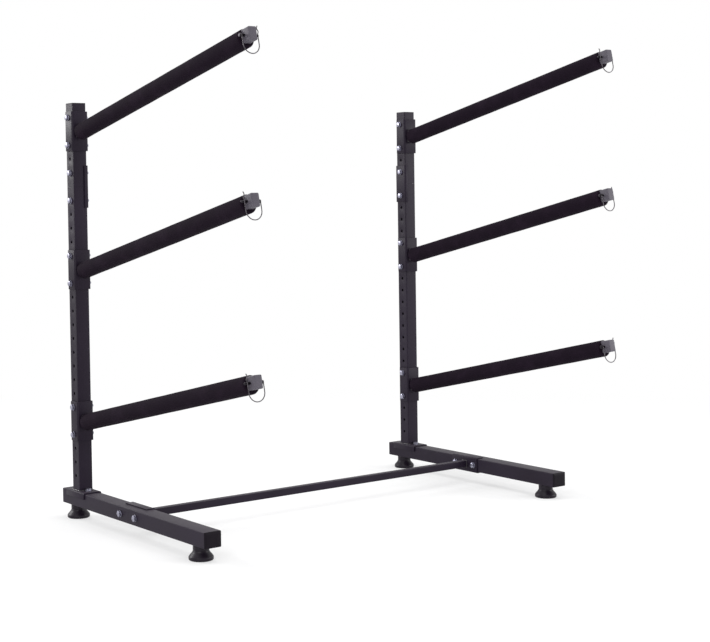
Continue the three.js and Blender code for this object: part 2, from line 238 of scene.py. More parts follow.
def shade(red: float, green: float, blue: float) -> Colour:
    """A colour as it shows on screen, in the linear numbers that shaders take.

    Each number's share of 255 is divided by 12.92 up to 0.04045. Above that it becomes
    ((share + 0.055) / 1.055) ^ 2.4.

    Args:
        red: Its red, from 0 to 255.
        green: Its green.
        blue: Its blue.

    Returns:
        The linear colour, opaque.
    """
    share = np.array([red, green, blue]) / 255
    linear = np.where(share <= 0.04045, share / 12.92, ((share + 0.055) / 1.055) ** 2.4)
    return (*map(float, linear), 1.0)


@dataclass(frozen=True)
class Finish:
    """A surface in two colours. Each kind of surface fills the nodes in its own way."""

    name: str
    slot: Slot
    colour: Colour
    second: Colour
    shine: float

    def paint(self, graph: Graph) -> None:
        """Fills a material's nodes."""
        raise NotImplementedError

    def material(self) -> bpy.types.Material:
        """Makes the finish's material at its first use.

        Returns:
            The material.
        """
        found = bpy.data.materials.get(self.name)
        if found is None:
            found = bpy.data.materials.new(self.name)
            self.paint(Graph(found))
        return found


class PowderCoat(Finish):
    """Satin powder coat on steel: orange peel, faint clouds, and dust with painted top light on
    what faces up.
    """

    def paint(self, graph: Graph) -> None:
        """Mixes clouds of the two colours, and a pale colour where the surface faces up, partly
        dust and partly painted top light.

        Args:
            graph: The material's nodes.
        """
        clouds = graph.noise(5.0, 4.0).step(0.35, 0.7)
        peel = graph.noise(420.0, 3.0)
        specks = graph.noise(1400.0, 2.0)
        normal = graph.node("ShaderNodeNewGeometry", output="Normal")
        rise = graph.node("ShaderNodeSeparateXYZ", inputs={0: normal}, output="Z")
        # The pale mix on up-facing surfaces is partly real dust and partly painted top light that
        # lightens the tops.
        dust_and_top_light_amount = 0.15 + 0.10 * graph.noise(38.0, 5.0, 0.62).step(0.3, 0.75)
        dust_and_top_light = rise.step(0.6, 1.0) * dust_and_top_light_amount
        coat = graph.blend(clouds, self.colour, self.second)
        dust_and_top_light_colour = shade(100, 94, 102)
        graph.surface(
            Base_Color=graph.blend(dust_and_top_light, coat, dust_and_top_light_colour),
            Roughness=self.shine + 0.07 * clouds + 0.06 * specks + 0.25 * dust_and_top_light,
            Specular_IOR_Level=0.13,
            Normal=graph.relief(peel + 0.3 * specks, 0.00002, 0.15),
        )


class WeldPaint(Finish):
    """The same coat over a weld bead, glossier, with pale noise patches painted on as glints."""

    def paint(self, graph: Graph) -> None:
        """Puts the second colour on noise patches as painted glints, under fine spatter.

        Args:
            graph: The material's nodes.
        """
        spatter = graph.noise(700.0, 3.0)
        # The pale second colour is a painted highlight: glints on the bead.
        painted_glint_patches = graph.noise(260.0, 2.0).step(0.52, 0.72)
        graph.surface(
            Base_Color=graph.blend(painted_glint_patches, self.colour, self.second),
            Roughness=self.shine + 0.08 * spatter,
            Specular_IOR_Level=0.45,
            Normal=graph.relief(spatter, 0.0001, 0.3),
        )


class ClosedCellFoam(Finish):
    """Matt sleeve foam with a pebbled skin, fine pores and faint scuffs."""

    def paint(self, graph: Graph) -> None:
        """Puts the second colour on scuffs and pebbles, over a skin of pores.

        Args:
            graph: The material's nodes.
        """
        pores = graph.cells(620.0)
        pebbles = graph.noise(210.0, 3.0)
        scuffs = graph.noise(16.0, 5.0, 0.6).step(0.45, 0.75)
        graph.surface(
            Base_Color=graph.blend(scuffs * 0.6 + 0.25 * pebbles, self.colour, self.second),
            Roughness=self.shine + 0.12 * pores,
            Specular_IOR_Level=0.06,
            Normal=graph.relief(0.6 * pores + 0.8 * pebbles, 0.00022, 0.4),
        )


class ZincPlate(Finish):
    """Zinc plate on bolts, clouded by its spangle and its passivation."""

    def paint(self, graph: Graph) -> None:
        """Clouds the second colour in, over the relief of the spangle.

        Args:
            graph: The material's nodes.
        """
        clouds = graph.noise(190.0, 3.0)
        spangle = graph.cells(900.0)
        graph.surface(
            Base_Color=graph.blend(clouds.step(0.35, 0.7), self.colour, self.second),
            Metallic=1.0,
            Roughness=self.shine + 0.14 * clouds + 0.06 * spangle,
            Normal=graph.relief(spangle, 0.00004, 0.4),
        )


class DrawnSteel(Finish):
    """Drawn or turned steel with faint marks and stains."""

    def paint(self, graph: Graph) -> None:
        """Puts the second colour on the stains, and roughens the steel by its marks.

        Args:
            graph: The material's nodes.
        """
        marks = graph.noise(520.0, 3.0)
        stains = graph.noise(60.0, 3.0).step(0.4, 0.7)
        graph.surface(
            Base_Color=graph.blend(stains, self.colour, self.second),
            Metallic=1.0,
            Roughness=self.shine + 0.16 * marks,
            Normal=graph.relief(marks, 0.00003, 0.4),
        )


@dataclass(frozen=True)
class MouldedPlastic(Finish):
    """Moulded plastic with a fine spark-eroded grain and soft flow marks."""

    gloss: float

    def paint(self, graph: Graph) -> None:
        """Puts the second colour on the flow marks, under the grain.

        Args:
            graph: The material's nodes.
        """
        grain = graph.noise(1300.0, 3.0)
        flow = graph.noise(26.0, 3.0).step(0.35, 0.7)
        graph.surface(
            Base_Color=graph.blend(flow, self.colour, self.second),
            Roughness=self.shine + 0.08 * grain + 0.05 * flow,
            Specular_IOR_Level=self.gloss,
            Normal=graph.relief(grain, 0.000004, 0.3),
        )


COAT = PowderCoat("black_powder_coat", Slot.BLACK_COAT, shade(29, 22, 34), shade(35, 28, 41), 0.40)
# The weld's second, pale colour is a painted highlight for glints.
WELD = WeldPaint("painted_weld", Slot.BLACK_COAT, shade(31, 27, 33), shade(72, 67, 74), 0.19)
FOAM = ClosedCellFoam(
    "black_sleeve_foam", Slot.BLACK_FOAM, shade(20, 12, 22), shade(32, 22, 34), 0.80
)
ZINC = ZincPlate("bright_zinc", Slot.ZINC, shade(166, 165, 181), shade(118, 117, 131), 0.27)
WIRE = DrawnSteel("drawn_spring_wire", Slot.WIRE_STEEL, shade(82, 79, 83), shade(58, 55, 59), 0.30)
PIN = DrawnSteel("turned_pin_steel", Slot.WIRE_STEEL, shade(46, 43, 48), shade(34, 32, 36), 0.30)
FOOT_PLASTIC = MouldedPlastic(
    "black_foot_plastic", Slot.BLACK_PLASTIC, shade(23, 17, 27), shade(27, 21, 31), 0.34, gloss=0.2
)
CAP_PLASTIC = MouldedPlastic(
    "black_cap_plastic", Slot.BLACK_PLASTIC, shade(17, 12, 20), shade(20, 15, 23), 0.45, gloss=0.1
)
GREY_PLASTIC = MouldedPlastic(
    "grey_cap_plastic", Slot.GREY_PLASTIC, shade(78, 74, 83), shade(82, 78, 87), 0.45, gloss=0.25
)


# Outlines, paths and shells

def full_turn(count: int) -> Array:
    """Even angles over a full turn."""
    return np.arange(count) * 2 * math.pi / count


def around(angle: Array) -> Array:
    """The points (cos a, sin a) of angles a."""
    return np.stack([np.cos(angle), np.sin(angle)], -1)


def rounded_rectangle(width: float, height: float, corner: float, steps: int = 6) -> Array:
    """Points round a rectangle, anticlockwise from its right side.

    Each corner is its centre + corner * (cos a, sin a), over a quarter turn of a.

    Args:
        width: Its size along x.
        height: Its size along y.
        corner: The radius of its corners.
        steps: Steps in each corner.

    Returns:
        An array of (x, y).
    """
    angle = np.linspace(0, math.pi / 2, steps + 1)
    turn = angle[None, :] + np.arange(4)[:, None] * math.pi / 2
    signs = np.array([[1, 1], [-1, 1], [-1, -1], [1, -1]])
    centre = signs * [width / 2 - corner, height / 2 - corner]
    return (centre[:, None, :] + corner * around(turn)).reshape(-1, 2)


def circle(radius: float, count: int = 48) -> Array:
    """Points (radius cos a, radius sin a) over a full turn of a."""
    return radius * around(full_turn(count))


def hexagon(flats: float, count: int = 48) -> Array:
    """Points round a hexagon.

    Each one's radius is flats / 2 / cos(a), where a is its angle from the middle of its flat.

    Args:
        flats: The distance between two opposite flats.
        count: How many points.

    Returns:
        An array of (x, y).
    """
    angle = full_turn(count)
    folded = np.mod(angle + math.pi / 6, math.pi / 3) - math.pi / 6
    return (flats / 2 / np.cos(folded))[:, None] * around(angle)


def raised(outline: Array, height: float | Array) -> Array:
    """An outline of (x, y) points lifted to a height, or to one height for each point."""
    return np.column_stack([outline, np.broadcast_to(height, len(outline))])


def turned(profile: Iterable[tuple[float, float]], count: int = 48) -> list[Array]:
    """The circles of a lathe's profile, from its radii and heights."""
    return [raised(circle(radius, count), height) for radius, height in profile]


def unit(vectors: Array) -> Array:
    """Vectors scaled to length 1."""
    return vectors / np.linalg.norm(vectors, axis=1)[:, None]


def round_sections(size: Array, first: Array, second: Array, count: int) -> Array:
    """Round sections of a bent bar, as offsets from its middle line.

    Each offset is size * (first cos a + second sin a), over a full turn of a.

    Args:
        size: The radius of each section.
        first: The first axis of each section.
        second: Its second axis.
        count: Points round each section.

    Returns:
        An array of sections x count x 3.
    """
    angle = full_turn(count)[:, None]
    ring = np.cos(angle) * first[:, None] + np.sin(angle) * second[:, None]
    return size[:, None, None] * ring


def smooth_path(knots: Array, samples: int) -> Array:
    """A Catmull-Rom curve through knots.

    Between knots b and c, with neighbours a and d, the point at t is
    b + (t (c - a) + t^2 (2a - 5b + 4c - d) + t^3 (3b - a - 3c + d)) / 2.

    Args:
        knots: The points that it passes.
        samples: Points for each stretch between knots.

    Returns:
        The curve's points.
    """
    ends = np.vstack([2 * knots[0] - knots[1], knots, 2 * knots[-1] - knots[-2]])
    a, b, c, d = ends[:-3, None], ends[1:-2, None], ends[2:-1, None], ends[3:, None]
    t = (np.arange(samples) / samples)[None, :, None]
    cubic = t * (c - a) + t**2 * (2 * a - 5 * b + 4 * c - d) + t**3 * (3 * b - a - 3 * c + d)
    curve = (b + cubic / 2).reshape(-1, knots.shape[1])
    return np.vstack([curve, knots[-1]])


@dataclass(frozen=True)
class Seat:
    """Where a piece made about its own origin goes: an origin and three axes."""

    origin: Triple = (0.0, 0.0, 0.0)
    x: Triple = (1.0, 0.0, 0.0)
    y: Triple = (0.0, 1.0, 0.0)
    z: Triple = (0.0, 0.0, 1.0)

    def put(self, points: Array) -> Array:
        """The origin plus each point's coordinates along the three axes."""
        return np.array(self.origin) + points @ np.array([self.x, self.y, self.z])


def across(x: float, y: float, z: float) -> Seat:
    """A seat whose own z axis lies along +X, with its y axis up."""
    return Seat((x, y, z), (0, 1, 0), (0, 0, 1), (1, 0, 0))


@dataclass
class Shell:
    """Grids of points that together make one mesh."""

    points: list[Array] = field(default_factory=list)
    quads: list[Array] = field(default_factory=list)
    count: int = 0

    def grid(self, rows: Array, wrap_rows: bool = False, wrap_columns: bool = True) -> "Shell":
        """Adds quads between neighbouring points of a grid.

        Args:
            rows: An array of rows x columns x 3.
            wrap_rows: Whether the last row joins the first.
            wrap_columns: Whether the last column joins the first.

        Returns:
            This shell.
        """
        index = self.count + np.arange(rows.shape[0] * rows.shape[1]).reshape(rows.shape[:2])
        if wrap_rows:
            index = np.concatenate([index, index[:1]])
        if wrap_columns:
            index = np.concatenate([index, index[:, :1]], axis=1)
        corners = [index[:-1, :-1], index[:-1, 1:], index[1:, 1:], index[1:, :-1]]
        self.quads.append(np.stack(corners, -1).reshape(-1, 4))
        self.points.append(rows.reshape(-1, 3))
        self.count += rows.shape[0] * rows.shape[1]
        return self

    def band(self, lines: Iterable[Array]) -> "Shell":
        """Joins open lines of equally many points."""
        return self.grid(np.stack(list(lines)), wrap_columns=False)

    def loft(self, rows: Iterable[Array], closed: bool = False) -> "Shell":
        """Joins closed outlines of equally many points.

        Args:
            rows: The outlines, in order.
            closed: Whether the last joins the first. If not, both ends get a lid.

        Returns:
            This shell.
        """
        stack = np.stack(list(rows))
        if not closed:
            first, last = (np.broadcast_to(stack[i].mean(0), stack[i].shape)[None] for i in (0, -1))
            stack = np.concatenate([first, stack, last])
        return self.grid(stack, wrap_rows=closed)

    def seated(self, seat: Seat) -> "Shell":
        """The same shell at its seat."""
        return Shell([seat.put(p) for p in self.points], list(self.quads), self.count)

    def add(self, other: "Shell") -> "Shell":
        """Takes in another shell's points and quads.

        Args:
            other: The other shell.

        Returns:
            This shell.
        """
        self.points += other.points
        self.quads += [quads + self.count for quads in other.quads]
        self.count += other.count
        return self

    def mesh(self, name: str) -> bpy.types.Mesh:
        """Makes a plain mesh of the points and quads.

        Args:
            name: The mesh's name.

        Returns:
            The mesh.
        """
        made = bpy.data.meshes.new(name)
        points, quads = np.concatenate(self.points), np.concatenate(self.quads)
        made.from_pydata(points.tolist(), [], quads.tolist())
        return made

    def piece(
        self,
        name: str,
        body: str,
        finish: Finish,
        replaces: tuple[str, ...] = (),
        sharp: float = 38.0,
    ) -> bpy.types.Object:
        """Makes the object, dresses it and lets it ride on its body.

        Args:
            name: The piece's name.
            body: The body that it moves with.
            finish: What its surface is.
            replaces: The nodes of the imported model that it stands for.
            sharp: The angle in degrees above which an edge stays sharp.

        Returns:
            The object.
        """
        mesh = self.mesh(name)
        form = bmesh.new()
        form.from_mesh(mesh)
        bmesh.ops.remove_doubles(form, verts=form.verts, dist=SAME_POINT)
        bmesh.ops.dissolve_degenerate(form, dist=NO_LENGTH, edges=form.edges)
        bmesh.ops.recalc_face_normals(form, faces=form.faces)
        form.to_mesh(mesh)
        form.free()
        mesh.shade_smooth()
        mesh.set_sharp_from_angle(angle=math.radians(sharp))
        made = bpy.data.objects.new(name, mesh)
        bpy.context.scene.collection.objects.link(made)
        made.data.materials.append(finish.material())
        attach(made, body)
        if replaces:
            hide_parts(*replaces)
        log.info("%s: %d faces", name, len(mesh.polygons))
        return made


def middle_of(node: str) -> Vector:
    """The middle of a node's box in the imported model."""
    low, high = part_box(node)
    return (low + high) / 2


@dataclass(frozen=True)
class Bar:
    """The outline of a bar, tube or cap: a rectangle with round corners."""

    width: float
    height: float
    corner: float
    least_corner: float = 0.0008

    def inset(self, depth: float) -> Array:
        """The outline moved inwards, with corners that keep at least their least radius."""
        corner = max(self.corner - depth, self.least_corner)
        return rounded_rectangle(self.width - 2 * depth, self.height - 2 * depth, corner)

    def loft(self, profile: Iterable[tuple[float, float]]) -> Shell:
        """A solid form from the (inset, height) rows of a profile."""
        return Shell().loft([raised(self.inset(depth), height) for depth, height in profile])

    def tube(self, wall: float, start: float, end: float, slant: float = 0.0) -> Shell:
        """A rolled steel tube along z, with its bore and its two cut ends.

        Args:
            wall: Its wall's thickness.
            start: Where it starts.
            end: Where it ends.
            slant: How far its start moves along z for each unit of y.

        Returns:
            The tube.
        """
        soft = 0.0003
        rows = []
        for depth, height, slope in (
            (soft, start, slant), (0.0, start + soft, slant), (0.0, end - soft, 0.0),
            (soft, end, 0.0), (wall, end, 0.0), (wall, start, slant),
        ):
            outline = self.inset(depth)
            rows.append(raised(outline, height + slope * outline[:, 1]))
        return Shell().loft(rows, closed=True)

    def weld(self, radius: float, ripple: float = 0.0032, steps: int = 5) -> Shell:
        """A fillet of overlapping weld ripples round the bar's foot, in the plane z = 0.

        Along the outline, its round section has the radius
        radius * (0.86 + 0.2 * (1 - u^2)), where u runs from 0 to 1 over each ripple.

        Args:
            radius: The bead's rough radius.
            ripple: The length of one ripple.
            steps: Sections in one ripple.

        Returns:
            The bead.
        """
        path = raised(self.inset(0.0), 0.0)
        closed = np.vstack([path, path[:1]])
        lengths = np.concatenate([[0], np.cumsum(np.linalg.norm(np.diff(closed, axis=0), axis=1))])
        count = int(round(lengths[-1] / ripple)) * steps
        run = np.arange(count) * lengths[-1] / count
        centre = np.stack([np.interp(run, lengths, closed[:, i]) for i in range(3)], -1)
        tangent = unit(np.roll(centre, -1, axis=0) - np.roll(centre, 1, axis=0))
        up = np.broadcast_to([0.0, 0.0, 1.0], centre.shape)
        along = np.mod(np.arange(count), steps) / steps
        size = radius * (0.86 + 0.2 * (1 - along**2))
        bead = centre[:, None] + round_sections(size, np.cross(up, tangent), up, 10)
        return Shell().loft(bead, closed=True)


def channel(
    inside: float, reach: float, plate: float, start: float, end: float, bend: float = 0.0022
) -> Shell:
    """A plate bent to a channel along z, with its web's outer face at y = 0 and its legs to +y.

    Its middle line runs down one leg, across the web and back. Its section at each point of
    that line is a rounded rectangle, the plate's thickness by the width from start to end.

    Args:
        inside: The width between its legs.
        reach: How far the legs pass the web's inner face.
        plate: The plate's thickness.
        start: Its lower end.
        end: Its upper end.
        bend: The radius of its bends on the inside.

    Returns:
        The channel.
    """
    edge = 0.0006
    half, depth, radius = (inside + plate) / 2, reach + plate / 2, bend + plate / 2
    turn = np.linspace(0, math.pi / 2, 7)
    corner = np.stack([half - radius + radius * np.sin(turn), radius - radius * np.cos(turn)], -1)
    right = np.vstack([corner, [[half, 0.5 * (depth + radius)], [half, depth]]])
    path = np.vstack([right[::-1] * [-1, 1], [[0.0, 0.0]], right]) + [0.0, plate / 2]
    tangent = unit(np.gradient(path, axis=0))
    normal = np.stack([tangent[:, 1], -tangent[:, 0]], -1)
    section = rounded_rectangle(plate, end - start, edge, 2)
    flat = path[:, None] + section[None, :, :1] * normal[:, None]
    height = np.broadcast_to(section[None, :, 1:] + (start + end) / 2, (*flat.shape[:2], 1))
    return Shell().loft(np.concatenate([flat, height], -1))


# Fasteners

@dataclass(frozen=True)
class HexBolt:
    """A hexagon bolt with washers, nut and thread end, along +z from its head's face."""

    radius: float = 0.005
    flats: float = 0.0172
    head: float = 0.0065
    nut: float = 0.0081
    washer: float = 0.0106
    plate: float = 0.002
    end: float = 0.0041
    pitch: float = 0.0015

    def crown(self, base: float, top: float) -> list[Array]:
        """Outlines of a hexagon whose corners a 30 degree cone cuts.

        The cone lowers a point by (its radius - the chamfer's radius) * tan(30 degrees).

        Args:
            base: The height of its flat face.
            top: The height of its chamfered face.

        Returns:
            The outlines, from base to top.
        """
        chamfer = 0.94 * self.flats / 2
        sign = math.copysign(1, top - base)
        sides = hexagon(self.flats)
        cut = (np.linalg.norm(sides, axis=1) - chamfer) * math.tan(math.radians(30))
        return [raised(sides, base), raised(sides, top - sign * cut), raised(circle(chamfer), top)]

    def washer_rows(self, low: float, high: float) -> list[Array]:
        """Outlines of a washer with softened edges.

        Args:
            low: The height of its first face.
            high: The height of its second face.

        Returns:
            The outlines, from low to high.
        """
        soft, outer = 0.0003, self.washer
        inner = outer - soft
        return turned([(inner, low), (outer, low + soft), (outer, high - soft), (inner, high)])

    def thread(self, start: float, end: float) -> list[Array]:
        """Outlines of a thread.

        A point's radius is radius * (1 - depth * saw), where saw falls from 1 to 0 and rises
        to 1 again over each whole number of z / pitch - its share of a turn.

        Args:
            start: Where the thread starts.
            end: Where it ends.

        Returns:
            The outlines, in order.
        """
        depth, rows_per_pitch = 0.12, 5
        outline = circle(self.radius)
        turns = np.arange(len(outline)) / len(outline)
        rows = []
        for z in np.arange(start, end, self.pitch / rows_per_pitch):
            saw = np.abs(2 * np.mod(z / self.pitch - turns, 1) - 1)
            rows.append(raised(outline * (1 - depth * saw)[:, None], z))
        return rows

    def shell(self, grip: float) -> Shell:
        """The whole bolt.

        Args:
            grip: The distance between the two faces that it pulls together.

        Returns:
            The bolt, with its head below z = 0 and its nut above z = grip.
        """
        nut_base = grip + self.plate
        nut_top = nut_base + self.nut
        tip = nut_top + self.end
        rows = self.crown(-self.plate, -self.plate - self.head)[::-1]
        rows += self.washer_rows(-self.plate, 0)
        rows += turned([(self.radius, 0), (self.radius, grip)])
        rows += self.washer_rows(grip, nut_base)
        rows += self.crown(nut_base, nut_top)
        rows += turned([(self.radius * 1.05, nut_top)])
        rows += self.thread(nut_top, tip - 0.0009)
        rows += turned([(self.radius * 0.86, tip - 0.0007), (self.radius * 0.7, tip)])
        return Shell().loft(rows)


# The floor base

@dataclass(frozen=True)
class LevellingFoot:
    """A moulded bell foot with its threaded stud."""

    radius: float = 0.0385
    height: float = 0.0457
    stud: float = 0.0777

    def shell(self) -> Shell:
        """The bell as one turned outline, smoothed between its knots, and the stud above it.

        Returns:
            The foot about the middle of its sole.
        """
        edge = [[0.90, 0.0], [0.94, 0.0], [0.975, 0.025], [0.992, 0.055]]
        flank = np.array([
            [0.998, 0.085], [1.0, 0.14], [1.0, 0.20], [0.985, 0.235], [0.945, 0.285], [0.84, 0.39],
            [0.745, 0.485], [0.690, 0.555], [0.672, 0.59], [0.659, 0.625],
        ])
        brow = [
            [0.636, 0.64], [0.636, 0.66], [0.655, 0.67], [0.655, 0.93], [0.648, 0.97], [0.62, 1.0],
            [0.16, 1.0],
        ]
        profile = np.vstack([edge, smooth_path(flank, 6), brow]) * [self.radius, self.height]
        bolt = HexBolt()
        rows = turned(profile) + bolt.thread(self.height, self.stud - 0.001)
        return Shell().loft(rows + turned([(bolt.radius * 0.7, self.stud)]))


@dataclass(frozen=True)
class FloorBase:
    """One floor base: its tube, its two end caps and its two feet."""

    column: Column
    bar: Bar = Bar(0.060, 0.050, 0.003)
    cap: Bar = Bar(0.060, 0.050, 0.003, least_corner=0.0006)
    foot: LevellingFoot = LevellingFoot()
    wall: float = 0.0025
    cap_face: float = 0.0025
    plug: float = 0.0200

    def end_cap(self) -> Shell:
        """The insert in the tube's end, from its plug's tip to its softened face."""
        plug, face = self.plug, self.cap_face
        return self.cap.loft([
            (0.0040, -plug), (0.0029, -plug + 0.002), (0.0029, 0.0), (0.0, 0.0),
            (0.0, face - 0.0012), (0.00025, face - 0.0005), (0.0009, face), (0.012, face),
        ])

    def build(self) -> None:
        """Makes the base's pieces."""
        side = self.column.label
        node = f"base_tube_{side}"
        low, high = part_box(node)
        middle = middle_of(node)
        seat = Seat((middle.x, 0, middle.z), (-1, 0, 0), (0, 0, 1), (0, 1, 0))
        tube = self.bar.tube(self.wall, low.y, high.y)
        tube.seated(seat).piece(f"rolled_base_tube_{side}", "frame", COAT, (node,))
        for place in Place:
            end, outward = f"{side}_{place.label}", place.value
            node = f"base_end_cap_{end}"
            cap_low, cap_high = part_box(node)
            face = (cap_low if place is Place.FRONT else cap_high).y - outward * self.cap_face
            seat = Seat((middle.x, face, middle.z), (-outward, 0, 0), (0, 0, 1), (0, outward, 0))
            self.end_cap().seated(seat).piece(f"end_cap_{end}", "frame", CAP_PLASTIC, (node,))
            node = f"levelling_foot_{end}"
            seat = Seat((middle.x, middle_of(node).y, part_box(node)[0].z))
            foot = self.foot.shell().seated(seat)
            foot.piece(f"bell_foot_{end}", f"foot_{end}_body", FOOT_PLASTIC, (node,))


# The posts

@dataclass(frozen=True)
class PunchedTube:
    """A square tube with round holes punched through its two side walls."""

    half: float = 0.025
    wall: float = 0.0025
    corner: float = 0.003
    hole: float = 0.0055
    pitch: float = 0.047
    roll: float = 0.0005
    steps: int = 6

    @property
    def flat(self) -> float:
        """Half the flat width of a wall, between its corners."""
        return self.half - self.corner

    def cells(self, low: float, high: float, holes: Array) -> Array:
        """The lower and upper limit of the stretch of wall round each hole."""
        return np.clip(np.stack([holes - self.pitch / 2, holes + self.pitch / 2], -1), low, high)

    def levels(self, low: float, high: float, cells: Array) -> Array:
        """The heights at which rows of points lie.

        Args:
            low: The tube's lower end.
            high: Its upper end.
            cells: The limits of the stretches round its holes.

        Returns:
            The heights, in order.
        """
        share = np.linspace(0, 1, self.steps + 1)
        inside = cells[:, :1] + (cells[:, 1:] - cells[:, :1]) * share
        return np.unique(np.round(np.concatenate([[low, high], inside.ravel()]), 7))

    def wrap(self, half: float, facing: float) -> Array:
        """The outline of the front or back wall with its two corners."""
        arc = self.flat + (half - self.flat) * around(np.linspace(0, math.pi / 2, 7))
        return np.vstack([arc, arc[::-1] * [-1, 1]]) * [1, facing]

    def cell(self, side: float, height: float, low: float, high: float) -> Array:
        """One hole with the wall around it, outside and inside.

        Rows run from the cell's rectangle over the rolled rim, radius hole + roll (1 - sin t)
        at depth roll (1 - cos t), through the wall to the rectangle inside.

        Args:
            side: 1 for the wall at +X, and -1 for the one at -X.
            height: The hole's own height.
            low: The cell's lower limit.
            high: Its upper limit.

        Returns:
            A grid of points.
        """
        share = np.linspace(-1, 1, self.steps, endpoint=False)
        ones = np.ones_like(share)
        edges = [(ones, share), (-share, ones), (-ones, -share), (share, -ones)]
        square = np.concatenate([np.stack(edge, -1) for edge in edges])
        reach = np.where(square[:, 1:] > 0, high - height, height - low)
        corners = np.concatenate([square[:, :1] * self.flat, square[:, 1:] * reach], -1)
        ring = around(full_turn(4 * self.steps) - math.pi / 4)
        rows = [(corners, self.half)]
        for turn in np.linspace(0, math.pi / 2, 4):
            radius = self.hole + self.roll * (1 - math.sin(turn))
            rows.append((ring * radius, self.half - self.roll * (1 - math.cos(turn))))
        rows += [(ring * self.hole, self.half - self.wall), (corners, self.half - self.wall)]
        return np.stack([
            np.column_stack([np.full(len(yz), side * depth), yz[:, 0], yz[:, 1] + height])
            for yz, depth in rows
        ])

    def shell(self, low: float, high: float, holes: Array) -> Shell:
        """The tube about its own middle line.

        Args:
            low: Its lower end.
            high: Its upper end.
            holes: The heights of its holes.

        Returns:
            The tube.
        """
        cells = self.cells(low, high, holes)
        levels = self.levels(low, high, cells)
        halves = (self.half, self.half - self.wall)
        across_flat = np.linspace(-self.flat, self.flat, self.steps + 1)
        made = Shell()
        for facing in (1.0, -1.0):
            walls = [self.wrap(half, facing) for half in halves]
            for wall in walls:
                made.band(raised(wall, z) for z in levels)
            for z in (low, high):
                made.band(raised(wall, z) for wall in walls)
        for side in (1.0, -1.0):
            for (bottom, top), height in zip(cells, holes):
                made.grid(self.cell(side, height, bottom, top))
            walls = [np.array([(side * half, y) for y in across_flat]) for half in halves]
            for bottom, top in self.plain(low, high, cells):
                for wall in walls:
                    made.band([raised(wall, bottom), raised(wall, top)])
            for z in (low, high):
                made.band(raised(wall, z) for wall in walls)
        return made

    def plain(self, low: float, high: float, cells: Array) -> Iterator[tuple[float, float]]:
        """The stretches below the first cell and above the last one."""
        for bottom, top in ((low, cells[0, 0]), (cells[-1, 1], high)):
            if top - bottom > SAME_HEIGHT:
                yield bottom, top


@dataclass(frozen=True)
class Post:
    """A post: two lengths of punched tube, the saddle under it, its splice, welds and bolts."""

    column: Column
    tube: PunchedTube = PunchedTube()
    bolt: HexBolt = HexBolt()
    lid: Bar = Bar(0.050, 0.050, 0.003)
    foot: Bar = Bar(0.0506, 0.0506, 0.003)
    bead: float = 0.0024
    bite: float = 0.0005
    lowest_hole: float = 0.150
    lower_holes: range = range(0, 21)
    upper_holes: range = range(22, 27)
    splice_holes: range = range(20, 23, 2)
    saddle_plate: float = 0.004
    saddle_inside: float = 0.0606
    saddle_leg: float = 0.018
    saddle_bend: float = 0.0018
    saddle_bolt: float = 0.038
    saddle_grip: float = 0.005
    lid_plate: float = 0.0025
    splice_plate: float = 0.0035
    splice_flange: float = 0.011
    splice_margin: float = 0.025
    splice_gap: float = 0.0003

    def middle(self) -> tuple[float, float]:
        """The post's middle line, from the upper post's box."""
        middle = middle_of(f"upper_post_{self.column.label}")
        return middle.x, middle.y

    def heights(self, holes: range) -> Array:
        """The heights of some of the post's holes, counted from the lowest."""
        return self.lowest_hole + self.tube.pitch * np.array(holes)

    def build(self) -> None:
        """Makes and dresses the post's pieces."""
        self.lower()
        self.upper()
        self.splice()

    def lower(self) -> None:
        """The lower post on its bent saddle plate, with its weld and its two bolts."""
        side = self.column.label
        node = f"lower_post_{side}"
        x, y = self.middle()
        low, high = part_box(node)
        inside, leg, plate = self.saddle_inside, self.saddle_leg, self.saddle_plate
        top = low.z + leg + plate
        saddle = channel(inside, leg, plate, low.y, high.y, self.saddle_bend)
        seat = Seat((x, 0, top), (1, 0, 0), (0, 0, -1), (0, 1, 0))
        tube = self.tube.shell(top - self.bite, high.z, self.heights(self.lower_holes))
        whole = saddle.seated(seat).add(tube.seated(Seat((x, y, 0))))
        whole.piece(f"punched_lower_post_{side}", "frame", COAT, (node,))
        bead = self.foot.weld(self.bead).seated(Seat((x, y, top)))
        bead.piece(f"post_foot_weld_{side}", "frame", WELD)
        bolts = Shell()
        for facing in (1, -1):
            seat = Seat((x, y + facing * self.saddle_bolt, top), (1, 0, 0), (0, -1, 0), (0, 0, -1))
            bolts.add(self.bolt.shell(self.saddle_grip).seated(seat))
        bolts.piece(f"saddle_bolts_{side}", "frame", ZINC)

    def upper(self) -> None:
        """The upper post and the plate that closes it."""
        side = self.column.label
        node = f"upper_post_{side}"
        x, y = self.middle()
        low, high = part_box(node)
        tube = self.tube.shell(low.z, high.z - self.lid_plate / 2, self.heights(self.upper_holes))
        lid = self.lid.loft([
            (0.003, -self.lid_plate), (0.0, -self.lid_plate), (0.0, -0.0009), (0.0003, -0.0003),
            (0.0010, 0.0), (0.012, 0.0),
        ])
        whole = tube.add(lid.seated(Seat((0, 0, high.z)))).seated(Seat((x, y, 0)))
        whole.piece(f"punched_upper_post_{side}", "frame", COAT, (node,))

    def splice(self) -> None:
        """The splice channel on the post's inner side, and its bolts."""
        side, inward = self.column.label, self.column.value
        x, y = self.middle()
        face = self.tube.half + self.splice_gap
        outer = face + self.splice_plate
        heights = self.heights(self.splice_holes)
        ends = heights + [-self.splice_margin, self.splice_margin]
        plate = channel(2 * face, self.splice_flange, self.splice_plate, *ends)
        seat = Seat((x + inward * outer, y, 0), (0, inward, 0), (-inward, 0, 0), (0, 0, 1))
        plate.seated(seat).piece(f"splice_channel_{side}", "frame", COAT, (f"post_splice_{side}",))
        head_side = face if self.column is Column.LEFT else outer
        bolts = Shell()
        for z in heights:
            bolts.add(self.bolt.shell(face + outer).seated(across(x - head_side, y, float(z))))
        bolts.piece(f"splice_bolts_{side}", "frame", ZINC)


